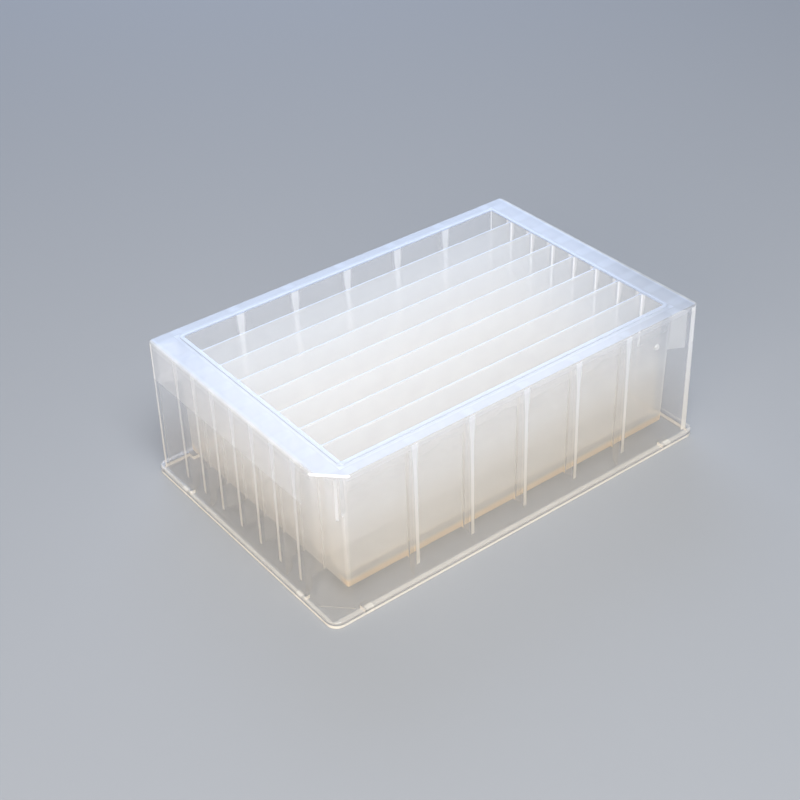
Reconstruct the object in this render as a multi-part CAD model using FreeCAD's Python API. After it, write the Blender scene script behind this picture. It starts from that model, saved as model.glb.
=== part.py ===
import FreeCAD, Part
import math
import os

# Eight-trough reagent reservoir on a microplate footprint, moulded in one piece.
# Sizes are in millimetres. The troughs run along X and lie side by side along Y.
# Z is up, and the origin is the middle of the footprint, on the surface it stands on.

# Flange at the foot: an upright rim and the flat ledge that joins it to the skin.
footprint_length = 127.76
footprint_width = 85.48
flange_corner_radius = 3.2
rim_thickness = 1.0
rim_edge_radius = 0.35
end_ledge_width = 1.38
side_ledge_width = 1.74
ledge_height = 2.1
ledge_thickness = 1.0

# Skin: the thin outer wall, which leans in a little as it rises from the ledge.
skin_thickness = 1.0
skin_draft = 0.5
skin_corner_radius = 1.3
skin_inner_radius = 0.5
key_corner_cut = 6.4

# Thicker band at the head of the two short sides, on the inside of the skin.
band_thickness = 1.7
band_depth = 11.8

# Deck, from the mouth of the troughs out to the skin as it stands at the ledge, and
# the lip that stands round the mouth.
end_deck_width = 8.5
side_deck_width = 5.45
total_height = 44.0
lip_height = 0.4
lip_width = 1.0
lip_edge_radius = 0.2
deck_thickness = 1.4
deck_edge_radius = 0.5

# Troughs, which share the mouth evenly.
trough_count = 8
trough_draft = 0.35
trough_corner_radius = 0.4
trough_floor_radius = 2.0
divider_thickness = 0.9
divider_drop = 0.5
divider_chamfer = 0.25
floor_thickness = 1.5
underside_height = 5.8

# Outside of the trough block, which widens a little as it rises.
end_wall_thickness = 1.5
side_wall_thickness = 1.9
block_draft = 0.6
block_corner_radius = 0.6
block_foot_radius = 0.4

# Ribs between the trough block and the skin, thinner at the foot than at the deck.
rib_thickness = 1.2
rib_foot_thickness = 0.8
side_rib_count = 5
side_rib_pitch = 18.0
side_ribs_with_fins = 1
end_ribs_with_fins = 2
fin_depth = 2.2
fin_corner_radius = 1.5

# Webs from the corners of the trough block to the corners of the skin.
web_thickness = 1.0
web_depth = 13.6

# Pads in the flange, and the mark of the moulding gate on the trough block. Insets are
# from the ends of the side, and depths are from the deck.
pad_length = 2.0
end_pad_inset = 13.5
side_pad_inset = 9.8
gate_diameter = 1.5
gate_height = 0.5
gate_inset = 12.1
gate_depth = 10.9

# Values that follow from the sizes above.
skin_length = footprint_length - 2 * end_ledge_width
skin_width = footprint_width - 2 * side_ledge_width
trough_length = skin_length - 2 * end_deck_width
mouth_width = skin_width - 2 * side_deck_width
trough_pitch = (mouth_width + divider_thickness) / trough_count
deck_level = total_height - lip_height
deck_underside = deck_level - deck_thickness
floor_level = underside_height + floor_thickness
divider_level = total_height - divider_drop
skin_foot = ledge_height - ledge_thickness
block_length = trough_length + 2 * end_wall_thickness
block_width = mouth_width + 2 * side_wall_thickness
end_rib_count = trough_count - 1
overlap = 0.5


def lean(height, draft):
    """How far a face moves sideways over a height, at a draft in degrees."""
    return height * math.tan(math.radians(draft))


def spread(count, pitch):
    """Places of a number of like features, centred on zero."""
    return [(i - (count - 1) / 2) * pitch for i in range(count)]


def outline(half_length, half_width, level, cut):
    """Corners of a rectangle at a level, with the one at -X, -Y cut off if asked."""
    points = [(half_length, -half_width), (half_length, half_width), (-half_length, half_width)]
    if cut > 0:
        points += [(-half_length, -half_width + cut), (-half_length + cut, -half_width)]
    else:
        points += [(-half_length, -half_width)]
    return [FreeCAD.Vector(x, y, level) for x, y in points]


def flat(corners):
    """Flat face with the given corners."""
    return Part.Face(Part.makePolygon(corners + corners[:1]))


def upright(edges):
    """Those of the edges that run up a side."""
    return [e for e in edges if abs(e.tangentAt(e.FirstParameter).z) > 0.9]


def level_edges(solid, level):
    """Edges of a solid that lie wholly at one level."""
    box = [(e, e.BoundBox) for e in solid.Edges]
    return [e for e, b in box if abs(b.ZMin - level) < 0.001 and abs(b.ZMax - level) < 0.001]


def block(length, width, bottom, top, draft=0.0, radius=0.0, cut=0.0):
    """Block with its length and width given at the bottom, and sides leaning in by the draft."""
    step = lean(top - bottom, draft)
    lower = outline(length / 2, width / 2, bottom, cut)
    upper = outline(length / 2 - step, width / 2 - step, top, cut)
    faces = [flat(lower[::-1]), flat(upper)]
    for i in range(len(lower)):
        faces.append(flat([lower[i - 1], lower[i], upper[i], upper[i - 1]]))
    solid = Part.Solid(Part.Shell(faces))
    if radius > 0:
        solid = solid.makeFillet(radius, upright(solid.Edges))
    return solid


def flange():
    """Rim and ledge, as one solid block before the hollow is cut."""
    solid = block(footprint_length, footprint_width, 0, ledge_height, radius=flange_corner_radius)
    edges = level_edges(solid, ledge_height) + level_edges(solid, 0)
    return solid.makeFillet(rim_edge_radius, edges)


def skin_block(grow=0.0, top=deck_level, radius=skin_corner_radius):
    """Block inside the outer face of the skin, moved out by grow, from the foot to a level."""
    length = skin_length + 2 * lean(ledge_height - skin_foot, skin_draft) + 2 * grow
    width = skin_width + 2 * lean(ledge_height - skin_foot, skin_draft) + 2 * grow
    cut = key_corner_cut + grow * (2 - math.sqrt(2))
    return block(length, width, skin_foot, top, skin_draft, radius, cut)


def outer_body():
    """Flange and skin as one block, with the outer edge of the deck rounded."""
    body = skin_block()
    body = body.makeFillet(deck_edge_radius, level_edges(body, deck_level))
    return body.fuse(flange())


def hollow():
    """Space under the deck, inside the skin, and the wider space inside the rim."""
    inside = skin_block(-skin_thickness, deck_underside, skin_inner_radius)
    length = footprint_length - 2 * rim_thickness
    width = footprint_width - 2 * rim_thickness
    radius = flange_corner_radius - rim_thickness
    return inside.fuse(block(length, width, -overlap, skin_foot, radius=radius))


def trough_block():
    """Closed block that holds all troughs, from its underside up into the deck."""
    rise = deck_underside - underside_height
    length = block_length - 2 * lean(rise, block_draft)
    width = block_width - 2 * lean(rise, block_draft)
    top = deck_underside + deck_thickness / 2
    solid = block(length, width, underside_height, top, -block_draft, block_corner_radius)
    return solid.makeFillet(block_foot_radius, level_edges(solid, underside_height))


def lip():
    """Raised lip round the mouth, as one plate before the troughs are cut."""
    length = trough_length + 2 * lip_width
    width = mouth_width + 2 * lip_width
    radius = trough_corner_radius + lip_width
    plate = block(length, width, deck_level - deck_thickness / 2, total_height, radius=radius)
    return plate.makeFillet(lip_edge_radius, level_edges(plate, total_height))


def trough(place):
    """Space of one trough: rounded along its foot, then round the edges of its two ends."""
    depth = divider_level - floor_level
    length = trough_length - 2 * lean(depth, trough_draft)
    width = trough_pitch - divider_thickness - 2 * lean(depth, trough_draft)
    space = block(length, width, floor_level, divider_level, -trough_draft)
    foot = min(trough_floor_radius, 0.45 * width)
    sides = [e for e in level_edges(space, floor_level) if e.BoundBox.XLength > length / 2]
    space = space.makeFillet(foot, sides)
    ends = [e for e in space.Edges if e.BoundBox.XLength < length / 2]
    ends = [e for e in ends if e.BoundBox.ZMin < divider_level - overlap]
    space = space.makeFillet(trough_corner_radius, ends)
    space.translate(FreeCAD.Vector(0, place, 0))
    return space


def mouth():
    """Space above the dividers, inside the lip, whose sides carry on those of the troughs."""
    top = total_height + overlap
    return block(trough_length, mouth_width, divider_level, top, -trough_draft, trough_corner_radius)


def divider_edge(place):
    """Space that takes the sharp edges off the tops of the dividers beside one trough."""
    foot = divider_level - divider_chamfer
    top = divider_level + divider_chamfer
    length = trough_length - 2 * trough_corner_radius - 4 * divider_chamfer
    width = trough_pitch - divider_thickness - 2 * lean(divider_chamfer, trough_draft)
    space = block(length, width, foot, top, -45)
    space.translate(FreeCAD.Vector(0, place, 0))
    return space.common(block(trough_length, mouth_width, foot - overlap, top + overlap))


def rib(length, foot):
    """Upright rib that starts at the origin, runs along X and tapers towards its foot."""
    low = rib_foot_thickness / 2
    high = rib_thickness / 2
    top = deck_underside + deck_thickness / 2
    section = [(-low, foot), (low, foot), (high, top), (-high, top)]
    face = flat([FreeCAD.Vector(0, y, z) for y, z in section])
    return face.extrude(FreeCAD.Vector(length, 0, 0))


def fin(start, end):
    """Narrow fin under a rib, against the skin, with its inner corner rounded."""
    radius = min(fin_corner_radius, 0.9 * (end - start))
    top = underside_height + overlap
    middle = radius * (1 - math.sqrt(0.5))
    a = FreeCAD.Vector(start, 0, top)
    b = FreeCAD.Vector(start, 0, skin_foot + radius)
    c = FreeCAD.Vector(start + middle, 0, skin_foot + middle)
    d = FreeCAD.Vector(start + radius, 0, skin_foot)
    e = FreeCAD.Vector(end, 0, skin_foot)
    f = FreeCAD.Vector(end, 0, top)
    edges = [Part.makeLine(a, b), Part.Arc(b, c, d).toShape(), Part.makeLine(d, e)]
    edges += [Part.makeLine(e, f), Part.makeLine(f, a)]
    face = Part.Face(Part.Wire(edges))
    face.translate(FreeCAD.Vector(0, -rib_foot_thickness / 2, 0))
    return face.extrude(FreeCAD.Vector(0, rib_foot_thickness, 0))


def rib_row(places, finned, block_half, skin_half, turn):
    """Ribs and fins on one side of the block: turn is the way they face, in degrees."""
    start = block_half - overlap
    solids = []
    for i, place in enumerate(places):
        solids.append(moved(rib(skin_half - start, underside_height), start, place, turn))
        if min(i, len(places) - 1 - i) < finned:
            inner = skin_half - skin_thickness - fin_depth
            solids.append(moved(fin(inner, skin_half), 0, place, turn))
    return solids


def moved(solid, out, along, turn):
    """A solid moved out along X and sideways along Y, and then turned about Z."""
    solid.translate(FreeCAD.Vector(out, along, 0))
    solid.rotate(FreeCAD.Vector(0, 0, 0), FreeCAD.Vector(0, 0, 1), turn)
    return solid


def ribs():
    """All ribs: in line with the dividers at the ends, and along both long sides."""
    foot = lean(deck_underside - underside_height, block_draft)
    solids = []
    for turn in (0, 180):
        places = spread(end_rib_count, trough_pitch)
        half = block_length / 2 - foot
        solids += rib_row(places, end_ribs_with_fins, half, skin_length / 2, turn)
    for turn in (90, 270):
        places = spread(side_rib_count, side_rib_pitch)
        half = block_width / 2 - foot
        solids += rib_row(places, side_ribs_with_fins, half, skin_width / 2, turn)
    return solids


def web(start, end):
    """Upright plate under the deck, from one point in plan to another."""
    run = end - start
    foot = deck_level - web_depth
    top = deck_underside + deck_thickness / 2
    plate = Part.makeBox(run.Length, web_thickness, top - foot)
    plate.translate(FreeCAD.Vector(0, -web_thickness / 2, foot))
    turn = math.degrees(math.atan2(run.y, run.x))
    plate.rotate(FreeCAD.Vector(0, 0, 0), FreeCAD.Vector(0, 0, 1), turn)
    plate.translate(start)
    return plate


def webs():
    """One web at each corner, from the corner of the block towards that of the skin."""
    inset = block_corner_radius
    x = block_length / 2 - inset
    y = block_width / 2 - inset
    rise = deck_level - web_depth - ledge_height
    far_x = skin_length / 2 - lean(rise, skin_draft)
    far_y = skin_width / 2 - lean(rise, skin_draft)
    plates = []
    for sx, sy in ((1, 1), (1, -1), (-1, 1), (-1, -1)):
        start = FreeCAD.Vector(sx * x, sy * y, 0)
        end = FreeCAD.Vector(sx * far_x, sy * far_y, 0)
        plates.append(web(start, end))
    return plates


def bands():
    """Slabs that thicken the head of the skin on the two short sides."""
    foot = deck_level - band_depth
    outside = skin_length / 2 - lean(foot - ledge_height, skin_draft)
    top = deck_underside + deck_thickness / 2
    slabs = []
    for turn in (0, 180):
        slab = Part.makeBox(band_thickness + overlap, skin_width, top - foot)
        slab.translate(FreeCAD.Vector(outside - band_thickness, -skin_width / 2, foot))
        slab.rotate(FreeCAD.Vector(0, 0, 0), FreeCAD.Vector(0, 0, 1), turn)
        slabs.append(slab)
    return slabs


def pads_on_side(footprint_half, ledge_width, place, turn):
    """Two small pads that fill the flange under the ledge, between rim and skin."""
    depth = ledge_width + skin_thickness
    start = footprint_half - rim_edge_radius - depth
    solids = []
    for along in (-place, place):
        pad = Part.makeBox(depth, pad_length, ledge_height - rim_edge_radius)
        solids.append(moved(pad, start, along - pad_length / 2, turn))
    return solids


def pads():
    """All pads of the flange: two on each side."""
    end_place = skin_width / 2 - end_pad_inset
    side_place = skin_length / 2 - side_pad_inset
    solids = []
    for turn in (0, 180):
        solids += pads_on_side(footprint_length / 2, end_ledge_width, end_place, turn)
    for turn in (90, 270):
        solids += pads_on_side(footprint_width / 2, side_ledge_width, side_place, turn)
    return solids


def gate_mark():
    """Small round stub left by the moulding gate on the front wall of the trough block."""
    level = deck_level - gate_depth
    wall = block_width / 2 - lean(deck_underside - level, block_draft)
    centre = FreeCAD.Vector(skin_length / 2 - gate_inset, -wall + overlap, level)
    return Part.makeCylinder(gate_diameter / 2, gate_height + overlap, centre, FreeCAD.Vector(0, -1, 0))


def reservoir():
    """The whole moulding."""
    outside = outer_body()
    inner_parts = ribs() + webs() + bands() + pads() + [gate_mark()]
    inner_parts = [p.common(outside) for p in inner_parts]
    body = outside.cut(hollow())
    body = body.fuse([trough_block(), lip()] + inner_parts).removeSplitter()
    places = spread(trough_count, trough_pitch)
    spaces = [trough(place) for place in places] + [divider_edge(place) for place in places]
    return body.cut(spaces + [mouth()]).removeSplitter()


os.makedirs("parts", exist_ok=True)
moulding = reservoir()
print("solids", len(moulding.Solids), "valid", moulding.isValid(), "volume", round(moulding.Volume))
moulding.Solids[0].exportStep("parts/reservoir.step")
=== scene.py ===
from math import cos, pi, radians, sin

import bpy
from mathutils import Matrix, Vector

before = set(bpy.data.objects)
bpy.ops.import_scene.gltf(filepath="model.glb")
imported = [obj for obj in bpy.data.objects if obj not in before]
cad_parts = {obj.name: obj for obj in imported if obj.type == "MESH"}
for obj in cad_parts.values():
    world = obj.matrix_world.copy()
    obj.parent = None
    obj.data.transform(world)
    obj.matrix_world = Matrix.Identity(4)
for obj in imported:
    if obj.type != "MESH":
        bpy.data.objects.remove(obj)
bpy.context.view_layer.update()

# The reservoir: one injection moulding. An outer skin stands on a low flange and carries the
# deck, and a block of eight troughs hangs from the deck's mouth, tied to the skin by thin
# ribs. Nothing is joined on: skin, deck, ribs and troughs are one wall of plastic.
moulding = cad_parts["reservoir"]


def linear(hex_colour):
    """The linear RGBA colour of an sRGB hex value."""
    parts = [int(hex_colour[at:at + 2], 16) / 255 for at in (0, 2, 4)]
    return [p / 12.92 if p <= 0.04045 else ((p + 0.055) / 1.055) ** 2.4 for p in parts] + [1.0]


def add(tree, kind, inputs=None, **settings):
    """Adds a node with its settings. Each input is given a value, a node or a node's output."""
    node = tree.nodes.new(kind)
    for name, value in settings.items():
        setattr(node, name, value)
    for name, value in (inputs or {}).items():
        sockets = [s for s in node.inputs if s.enabled and s.name == name] or [node.inputs[name]]
        if isinstance(value, bpy.types.Node):
            value = next(s for s in value.outputs if s.enabled)
        if isinstance(value, bpy.types.NodeSocket):
            tree.links.new(value, sockets[0])
        else:
            sockets[0].default_value = value
    return node


# Natural polypropylene, moulded in a satin tool, has no pigment. Its crystals scatter a little
# light in every wall, so one wall is a veil and walls in a row turn white. A warm light low down
# and glow on edges, ribs and corners are painted light, set into the colour and the milk.
polypropylene = bpy.data.materials.new("natural_polypropylene")
polypropylene.use_nodes = True
tree = polypropylene.node_tree
tree.nodes.clear()

# Places on the moulding, in millimetres: ends lie along X and sides along Y from the middle
# of the footprint, levels are heights, and a rib stands at each pitch along its side or end.
skin_end = 62.5
skin_side = 41.0
block_end = 55.5
block_side = 37.5
mouth_end = 54.0
mouth_side = 35.5
ledge_level = 2.1
block_underside = 5.8
band_level = 31.8
web_level = 30.0
deck_level = 43.6
end_rib_pitch = 9.0
side_rib_pitch = 18.0
last_end_rib = 27.0
last_side_rib = 36.0
gate_place = (50.4, -37.6, 32.7)
web_normal = (0.4667, -0.8847, 0.0)
web_offset = -6.98
key_face = -97.0
end_pad = 27.5
side_pad = 52.7

# Between these two levels the painted glow of a rib widens towards the deck, to this many times its width.
flare_start = 34.0
flare_stop = 43.0
flare_share = 1.8
web_half_width = 0.35

# What a point on the wall is measured by. The last five place it against the ribs of the ends
# and of the sides, a web, the mark of the gate and the cut corner.
surface = add(tree, "ShaderNodeNewGeometry")
position = surface.outputs["Position"]
millimetres = add(tree, "ShaderNodeVectorMath", {0: position, "Scale": 1000.0}, operation="SCALE")
from_middle = add(tree, "ShaderNodeVectorMath", {0: millimetres}, operation="ABSOLUTE")
facing = add(tree, "ShaderNodeVectorMath", {0: surface.outputs["True Normal"]}, operation="ABSOLUTE")
place = add(tree, "ShaderNodeSeparateXYZ", {0: millimetres}).outputs
off = add(tree, "ShaderNodeSeparateXYZ", {0: from_middle}).outputs
slope = add(tree, "ShaderNodeSeparateXYZ", {0: facing}).outputs
rounded = add(tree, "ShaderNodeVectorMath", {0: facing, 1: (1.0, 1.0, 1.0)}, operation="DOT_PRODUCT")
past_end = add(tree, "ShaderNodeMath", {0: off["X"], 1: skin_end}, operation="SUBTRACT")
past_side = add(tree, "ShaderNodeMath", {0: off["Y"], 1: skin_side}, operation="SUBTRACT")
past_skin = add(tree, "ShaderNodeMath", {0: past_end, 1: past_side}, operation="MAXIMUM")
on_lip = add(tree, "ShaderNodeMapRange", {0: place["Z"], "From Min": deck_level - 0.1,
                                          "From Max": deck_level})
level = add(tree, "ShaderNodeMath", {0: slope["Z"], 1: on_lip}, operation="MAXIMUM")
flare = add(tree, "ShaderNodeMapRange", {0: place["Z"], "From Min": flare_start, "From Max": flare_stop,
                                         "To Min": 1.0, "To Max": flare_share},
            interpolation_type="SMOOTHSTEP")
end_rib = add(tree, "ShaderNodeMath", {0: place["Y"], 1: end_rib_pitch / 2}, operation="PINGPONG")
end_rib = add(tree, "ShaderNodeMath", {0: end_rib, 1: flare}, operation="DIVIDE")
side_rib = add(tree, "ShaderNodeMath", {0: place["X"], 1: side_rib_pitch / 2}, operation="PINGPONG")
side_rib = add(tree, "ShaderNodeMath", {0: side_rib, 1: flare}, operation="DIVIDE")
web = add(tree, "ShaderNodeVectorMath", {0: from_middle, 1: web_normal}, operation="DOT_PRODUCT")
web = add(tree, "ShaderNodeMath", {0: web.outputs["Value"], 1: web_offset, 2: web_half_width},
          operation="COMPARE")
gate = add(tree, "ShaderNodeVectorMath", {0: millimetres, 1: gate_place}, operation="DISTANCE")
key = add(tree, "ShaderNodeVectorMath", {0: millimetres, 1: (1.0, 1.0, 0.0)}, operation="DOT_PRODUCT")
measures = {
    "x": off["X"],
    "y": off["Y"],
    "z": place["Z"],
    "faces up": slope["Z"],
    "faces end": slope["X"],
    "faces side": slope["Y"],
    "level": level,
    "rounded": rounded.outputs["Value"],
    "past skin": past_skin,
    "from end rib": end_rib,
    "from side rib": side_rib,
    "in web": web,
    "from gate": gate.outputs["Value"],
    "key": key.outputs["Value"],
}

# Zones of the moulding. In each row a zone starts at the first number and is whole at the second.
zones = {
    "block": (
        ("x", block_end + 0.4, block_end + 0.2),
        ("y", block_side + 0.2, block_side)),
    "dividers": (
        ("x", mouth_end + 0.2, mouth_end),
        ("y", mouth_side - 0.3, mouth_side - 0.7)),
    "low walls": (
        ("z", 38.0, 26.0),),
    # Painted warm glow at the foot of the block.
    "glowing foot of block": (
        ("z", block_underside + 3.2, block_underside + 1.4),
        ("y", block_side - 5.5, block_side - 1.0)),
    "troughs": (
        ("x", mouth_end + 0.7, mouth_end + 0.5),
        ("y", mouth_side + 0.9, mouth_side + 0.7)),
    "block corners": (
        ("x", block_end - 1.7, block_end - 0.6),
        ("y", block_side - 1.7, block_side - 0.6)),
    # Painted highlights on the rounded corners inside the troughs.
    "trough corner highlights": (
        ("rounded", 1.05, 1.25),
        ("x", mouth_end - 1.1, mouth_end - 0.9),
        ("x", mouth_end + 1.0, mouth_end + 0.8),
        ("y", mouth_side + 0.7, mouth_side + 0.5),
        ("faces up", 0.5, 0.3)),
    # Painted glow: bright bars on the trough walls in front of the ribs.
    "ribs behind end walls": (
        ("from end rib", 1.3, 0.6),
        ("y", last_end_rib + 1.8, last_end_rib + 1.6),
        ("x", mouth_end - 0.6, mouth_end - 0.5),
        ("x", mouth_end + 1.0, mouth_end + 0.8),
        ("faces end", 0.7, 0.9)),
    "ribs behind side walls": (
        ("from side rib", 0.9, 0.5),
        ("x", last_side_rib + 2.2, last_side_rib + 2.0),
        ("y", mouth_side - 0.5, mouth_side - 0.4),
        ("y", mouth_side + 0.9, mouth_side + 0.7),
        ("faces side", 0.7, 0.9)),
    # The gate's mark is the moulding's own; it is drawn as a spot of painted glow.
    "gate": (
        ("from gate", 1.1, 0.6),),
    # The deck's blue tint in the tone is a painted reflection of the back light.
    "deck": (
        ("z", deck_level - 0.4, deck_level - 0.2),
        ("level", 0.9, 0.98),
        ("x", skin_end - 1.0, skin_end - 1.6)),
    # Painted glow: the deck is drawn lighter over the ribs under it.
    "deck over end ribs": (
        ("from end rib", 1.3, 0.3),
        ("x", block_end + 0.4, block_end + 0.6),
        ("z", deck_level - 0.4, deck_level - 0.2)),
    "deck over side ribs": (
        ("from side rib", 1.3, 0.3),
        ("y", block_side + 0.2, block_side + 0.4),
        ("z", deck_level - 0.4, deck_level - 0.2)),
    "deck side": (
        ("z", deck_level - 2.2, deck_level - 1.2),
        ("past skin", -0.8, -0.6),
        ("faces up", 0.6, 0.4)),
    "lip": (
        ("z", deck_level + 0.005, deck_level + 0.04),),
    # The ends are drawn lighter above the band level.
    "head band": (
        ("x", skin_end - 2.3, skin_end - 0.5),
        ("z", band_level - 0.1, band_level + 0.1),
        ("key", key_face + 3.0, key_face + 7.0)),
    # Painted glow along the lines where the ribs meet the skin.
    "end ribs": (
        ("from end rib", 0.75, 0.35),
        ("y", last_end_rib + 1.8, last_end_rib + 1.6),
        ("x", skin_end - 0.8, skin_end - 0.6),
        ("z", block_underside - 0.2, block_underside),
        ("faces up", 0.5, 0.2)),
    "side ribs": (
        ("from side rib", 0.75, 0.35),
        ("x", last_side_rib + 2.2, last_side_rib + 2.0),
        ("y", skin_side - 0.8, skin_side - 0.6),
        ("z", block_underside - 0.2, block_underside),
        ("faces up", 0.5, 0.2)),
    # Painted glow where the web meets the cut corner.
    "web at key": (
        ("in web", 0.3, 0.7),
        ("key", key_face + 0.7, key_face + 0.4),
        ("z", web_level - 0.2, web_level + 0.2),
        ("z", deck_level - 0.8, deck_level - 1.2)),
    # Painted glow on rounded edges.
    "edges": (
        ("rounded", 1.1, 1.3),
        ("z", ledge_level + 0.1, ledge_level + 0.2),
        ("z", deck_level - 0.6, deck_level - 1.1)),
    "key corner": (
        ("key", key_face + 2.0, key_face + 1.0),
        ("z", ledge_level + 0.1, ledge_level + 0.5)),
    # A painted highlight along the top edge of the cut corner.
    "key edge highlight": (
        ("key", key_face + 1.6, key_face + 1.0),
        ("z", deck_level - 0.7, deck_level - 0.55),
        ("faces up", 0.97, 0.9)),
    # Painted glow on the corner posts of the skin.
    "glowing corner posts": (
        ("x", skin_end - 3.1, skin_end - 2.7),
        ("y", skin_side - 2.3, skin_side - 1.9),
        ("z", ledge_level, ledge_level + 0.3),
        ("z", deck_level - 0.4, deck_level - 0.7)),
    # Painted light: a lighter band on the ledge and a bright line along the rim.
    "ledge": (
        ("z", ledge_level - 0.6, ledge_level - 0.4),
        ("z", ledge_level + 0.2, ledge_level + 0.05),
        ("past skin", 0.3, 0.7)),
    "rim": (
        ("z", 1.25, 0.95),
        ("faces up", 0.8, 0.7)),
    "end pads": (
        ("y", end_pad - 1.3, end_pad - 0.9),
        ("y", end_pad + 1.3, end_pad + 0.9),
        ("past skin", 0.0, 0.2),
        ("z", 0.0, 0.1),
        ("z", ledge_level + 0.1, ledge_level)),
    "side pads": (
        ("x", side_pad - 1.3, side_pad - 0.9),
        ("x", side_pad + 1.3, side_pad + 0.9),
        ("past skin", 0.0, 0.2),
        ("z", 0.0, 0.1),
        ("z", ledge_level + 0.1, ledge_level)),
    "walls and deck": (
        ("x", skin_end - 0.5, skin_end - 0.8),
        ("y", skin_side - 0.5, skin_side - 0.8),
        ("z", deck_level - 0.8, deck_level - 1.3)),
}
mask = {}
for zone, rows in zones.items():
    for measure, start, whole in rows:
        step = add(tree, "ShaderNodeMapRange", {0: measures[measure], "From Min": start, "From Max": whole},
                   interpolation_type="SMOOTHSTEP")
        if zone in mask:
            step = add(tree, "ShaderNodeMath", {0: mask[zone], 1: step}, operation="MULTIPLY")
        mask[zone] = step

# Walls that look thicker: low in the block, and about half as much in the dividers above.
thin_share = 0.55
thick = add(tree, "ShaderNodeMath", {0: mask["dividers"], 1: thin_share}, operation="MULTIPLY")
thick = add(tree, "ShaderNodeMath", {0: thick, 1: mask["low walls"]}, operation="MAXIMUM")
mask["thick walls"] = add(tree, "ShaderNodeMath", {0: thick, 1: mask["block"]}, operation="MULTIPLY")
for zone in ("glowing foot of block", "block corners"):
    mask[zone] = add(tree, "ShaderNodeMath", {0: mask[zone], 1: mask["block"]}, operation="MULTIPLY")

# Painted glow on edges and posts, on the outside. Edges in the hollow get less of the painted glow,
# and those of the block and of the cut corner none.
hollow_edge_share = 0.8
outer = add(tree, "ShaderNodeMath", {0: 1.0, 1: mask["walls and deck"]}, operation="SUBTRACT")
calm = add(tree, "ShaderNodeMath", {0: mask["block"], 1: mask["key corner"]}, operation="MAXIMUM")
glow = add(tree, "ShaderNodeMath", {0: 1.0, 1: calm}, operation="SUBTRACT")
glow = add(tree, "ShaderNodeMath", {0: mask["edges"], 1: glow}, operation="MULTIPLY")
kept_glow = add(tree, "ShaderNodeMapRange", {0: outer, "To Min": hollow_edge_share})
mask["edges"] = add(tree, "ShaderNodeMath", {0: glow, 1: kept_glow}, operation="MULTIPLY")
posts = add(tree, "ShaderNodeMath", {0: mask["glowing corner posts"], 1: outer}, operation="MULTIPLY")
mask["glowing corner posts"] = posts

# Share of the light that one plain wall scatters, clouded a little by how the plastic froze,
# and how much more it is in each zone. On the foot of the block, the trough corners, the ribs
# and the walls and deck over them, the gate, the web, the edges, the key edge, the corner posts,
# the ledge and the rim the extra is painted glow and painted highlights.
plain_veil = 0.16
cloud_veil = 0.012
cloud_width = 9.1
noise_low = 0.3
noise_high = 0.7
more_veil_and_painted_glow = {
    "block": 0.08,
    "thick walls": 0.22,
    "glowing foot of block": 0.28,
    "block corners": 0.12,
    "trough corner highlights": 0.40,
    "ribs behind end walls": 0.50,
    "ribs behind side walls": 0.50,
    "gate": 0.50,
    "deck": 0.28,
    "deck over end ribs": 0.08,
    "deck over side ribs": 0.08,
    "deck side": 0.12,
    "lip": 0.16,
    "head band": 0.30,
    "end ribs": 0.50,
    "side ribs": 0.50,
    "web at key": 0.50,
    "edges": 0.40,
    "key edge highlight": 0.70,
    "glowing corner posts": 0.55,
    "ledge": 0.15,
    "rim": 0.75,
    "end pads": 0.17,
    "side pads": 0.17,
}
cloud = add(tree, "ShaderNodeTexNoise", {"Vector": millimetres, "Scale": 1 / cloud_width, "Detail": 1.0})
veil_and_painted_glow = add(tree, "ShaderNodeMapRange", {0: cloud.outputs["Fac"], "From Min": noise_low,
                                        "From Max": noise_high, "To Min": plain_veil - cloud_veil,
                                        "To Max": plain_veil + cloud_veil})
for zone, amount in more_veil_and_painted_glow.items():
    veil_and_painted_glow = add(tree, "ShaderNodeMath", {0: mask[zone], 1: amount, 2: veil_and_painted_glow}, operation="MULTIPLY_ADD")

# The tone goes from white to a painted warm light between two levels, with a painted warm glow at
# the block's foot and a painted blue reflection of the back light on the deck.
warm_start = 30.0
warm_whole = 8.0
painted_warm_light = add(tree, "ShaderNodeMapRange", {0: place["Z"], "From Min": warm_start, "From Max": warm_whole})
tone = add(tree, "ShaderNodeMix", {"Factor": painted_warm_light, "A": linear("ffffff"), "B": linear("fdf5e8")},
           data_type="RGBA")
tone = add(tree, "ShaderNodeMix", {"Factor": mask["glowing foot of block"], "A": tone, "B": linear("ffe6c4")},
           data_type="RGBA")
tone = add(tree, "ShaderNodeMix", {"Factor": mask["deck"], "A": tone, "B": linear("e2ecff")},
           data_type="RGBA")

# The satin of the tool is finer than 0.1 mm. It is drawn at 0.4 mm, as fine as shows from arm's length.
satin_width = 0.4
satin_depth = 0.03
satin_smoothest = 0.12
satin_roughest = 0.18
satin = add(tree, "ShaderNodeTexNoise", {"Vector": millimetres, "Scale": 1 / satin_width, "Detail": 0.0})
satin = satin.outputs["Fac"]
sheen = add(tree, "ShaderNodeMapRange", {0: satin, "From Min": noise_low, "From Max": noise_high,
                                         "To Min": satin_smoothest, "To Max": satin_roughest})
grain = add(tree, "ShaderNodeBump", {"Height": satin, "Strength": 0.03, "Distance": satin_depth / 1000})

# The lip is too small and too milky to have a dark side, so its sides are shaded as if they lean back.
lip_lean = 1.5
upward = add(tree, "ShaderNodeMath", {0: mask["lip"], 1: lip_lean}, operation="MULTIPLY")
upward = add(tree, "ShaderNodeCombineXYZ", {"Z": upward})
grain = add(tree, "ShaderNodeVectorMath", {0: grain, 1: upward}, operation="ADD")
grain = add(tree, "ShaderNodeVectorMath", {0: grain}, operation="NORMALIZE")

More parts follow.
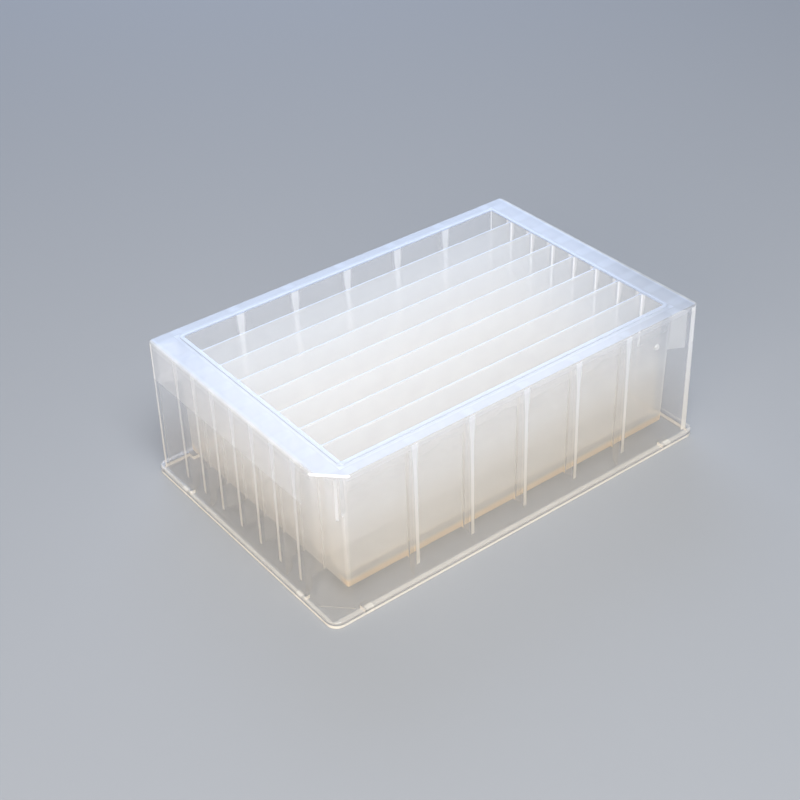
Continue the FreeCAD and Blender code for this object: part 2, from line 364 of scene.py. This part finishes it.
# Half of the scattered light goes on through the wall. On the ledge, rim, key edge, corner posts and gate
# most of it is sent back, which paints them brighter: painted glow and painted highlights.
passed_on = 0.5
passed_on_bright = 0.12
painted_bright = mask["ledge"]
for zone in ("rim", "key edge highlight", "glowing corner posts", "gate"):
    painted_bright = add(tree, "ShaderNodeMath", {0: painted_bright, 1: mask[zone]}, operation="MAXIMUM")
through = add(tree, "ShaderNodeMapRange", {0: painted_bright, "To Min": passed_on, "To Max": passed_on_bright})
clear = add(tree, "ShaderNodeBsdfTransparent", {"Color": linear("ffffff")})
front = add(tree, "ShaderNodeBsdfDiffuse", {"Color": tone, "Normal": grain})
back = add(tree, "ShaderNodeBsdfTranslucent", {"Color": tone, "Normal": grain})
milk = add(tree, "ShaderNodeMixShader", {0: through, 1: front, 2: back})
wall = add(tree, "ShaderNodeMixShader", {0: veil_and_painted_glow, 1: clear, 2: milk})

# Glints show on the outside, on the deck and in the troughs. Behind another wall they are blurred away.
hidden = add(tree, "ShaderNodeMath", {0: 1.0, 1: mask["troughs"]}, operation="SUBTRACT")
hidden = add(tree, "ShaderNodeMath", {0: mask["walls and deck"], 1: hidden}, operation="MULTIPLY")
glint = add(tree, "ShaderNodeFresnel", {"IOR": 1.49})
glint = add(tree, "ShaderNodeMapRange", {0: hidden, "To Min": glint, "To Max": 0.0})
gloss = add(tree, "ShaderNodeBsdfGlossy", {"Roughness": sheen, "Normal": grain})
outside = add(tree, "ShaderNodeMixShader", {0: glint, 1: wall, 2: gloss})
inside = add(tree, "ShaderNodeBsdfTransparent", {"Color": linear("ffffff")})
skin = add(tree, "ShaderNodeMixShader", {0: surface.outputs["Backfacing"], 1: outside, 2: inside})

# A shadow has no use for the detail: on its way to a shaded spot, light loses the same part at each wall.
ray = add(tree, "ShaderNodeLightPath")
entered = add(tree, "ShaderNodeMath", {0: 1.0, 1: surface.outputs["Backfacing"]}, operation="SUBTRACT")
entered = add(tree, "ShaderNodeMath", {0: entered, 1: ray.outputs["Is Shadow Ray"]}, operation="MULTIPLY")
shade = add(tree, "ShaderNodeBsdfTransparent", {"Color": linear("d0cecb")})
skin = add(tree, "ShaderNodeMixShader", {0: entered, 1: skin, 2: shade})
add(tree, "ShaderNodeOutputMaterial", {"Surface": skin})

moulding.data.materials.clear()
moulding.data.materials.append(polypropylene)

# The floor: a wide round sheet of matt paper that the reservoir stands on, and no part of it.
floor_reach = 1.2
floor_sides = 96
turns = [2 * pi * side / floor_sides for side in range(floor_sides)]
outline = [(floor_reach * cos(turn), floor_reach * sin(turn), 0) for turn in turns]
sheet = bpy.data.meshes.new("floor")
sheet.from_pydata(outline, [], [list(range(floor_sides))])
floor = bpy.data.objects.new("floor", sheet)
bpy.context.scene.collection.objects.link(floor)

# Matt paper gives the eye one pale, even grey with no shine.
paper = bpy.data.materials.new("matt_paper")
paper.use_nodes = True
paper.node_tree.nodes.clear()
cover = add(paper.node_tree, "ShaderNodeBsdfDiffuse", {"Color": linear("999a9c")})
add(paper.node_tree, "ShaderNodeOutputMaterial", {"Surface": cover})
sheet.materials.append(paper)


# The studio: three softboxes and a dim white room.
def softbox(name, place, size, power, colour):
    """A square soft light that faces the middle of the reservoir."""
    middle = Vector((0, 0, 0.02))
    lamp = bpy.data.lights.new(name, "AREA")
    lamp.shape = "SQUARE"
    lamp.size = size
    lamp.energy = power
    lamp.color = linear(colour)[:3]
    stand = bpy.data.objects.new(name, lamp)
    stand.location = place
    stand.rotation_euler = (middle - Vector(place)).to_track_quat("-Z", "Y").to_euler()
    bpy.context.scene.collection.objects.link(stand)


softbox("back_light", place=(0.32, 0.62, 0.48), size=0.6, power=4.1, colour="c8dcff")
softbox("top_light", place=(-0.16, -0.36, 0.70), size=0.4, power=7.5, colour="f7fbff")
softbox("front_light", place=(-0.72, -0.38, 0.26), size=0.5, power=4.3, colour="fff2e4")

room = bpy.data.worlds.new("studio")
bpy.context.scene.world = room
room.use_nodes = True
room.node_tree.nodes["Background"].inputs["Color"].default_value = linear("e8ecf2")
room.node_tree.nodes["Background"].inputs["Strength"].default_value = 0.2

# The camera looks down on the front side, the left end and the cut corner between them.
lens = bpy.data.cameras.new("camera")
lens.lens = 66.8
lens.clip_start = 0.01
camera = bpy.data.objects.new("camera", lens)
camera.location = (-0.20804, -0.26508, 0.25626)
camera.rotation_euler = [radians(angle) for angle in (54.725, 1.544, -37.936)]
bpy.context.scene.collection.objects.link(camera)
bpy.context.scene.camera = camera

# Colours stay as they are set, and light may pass as many walls as a look through the block meets.
bpy.context.scene.view_settings.view_transform = "Standard"
bpy.context.scene.cycles.transparent_max_bounces = 28
bpy.context.scene.cycles.max_bounces = 12
bpy.context.scene.cycles.diffuse_bounces = 5
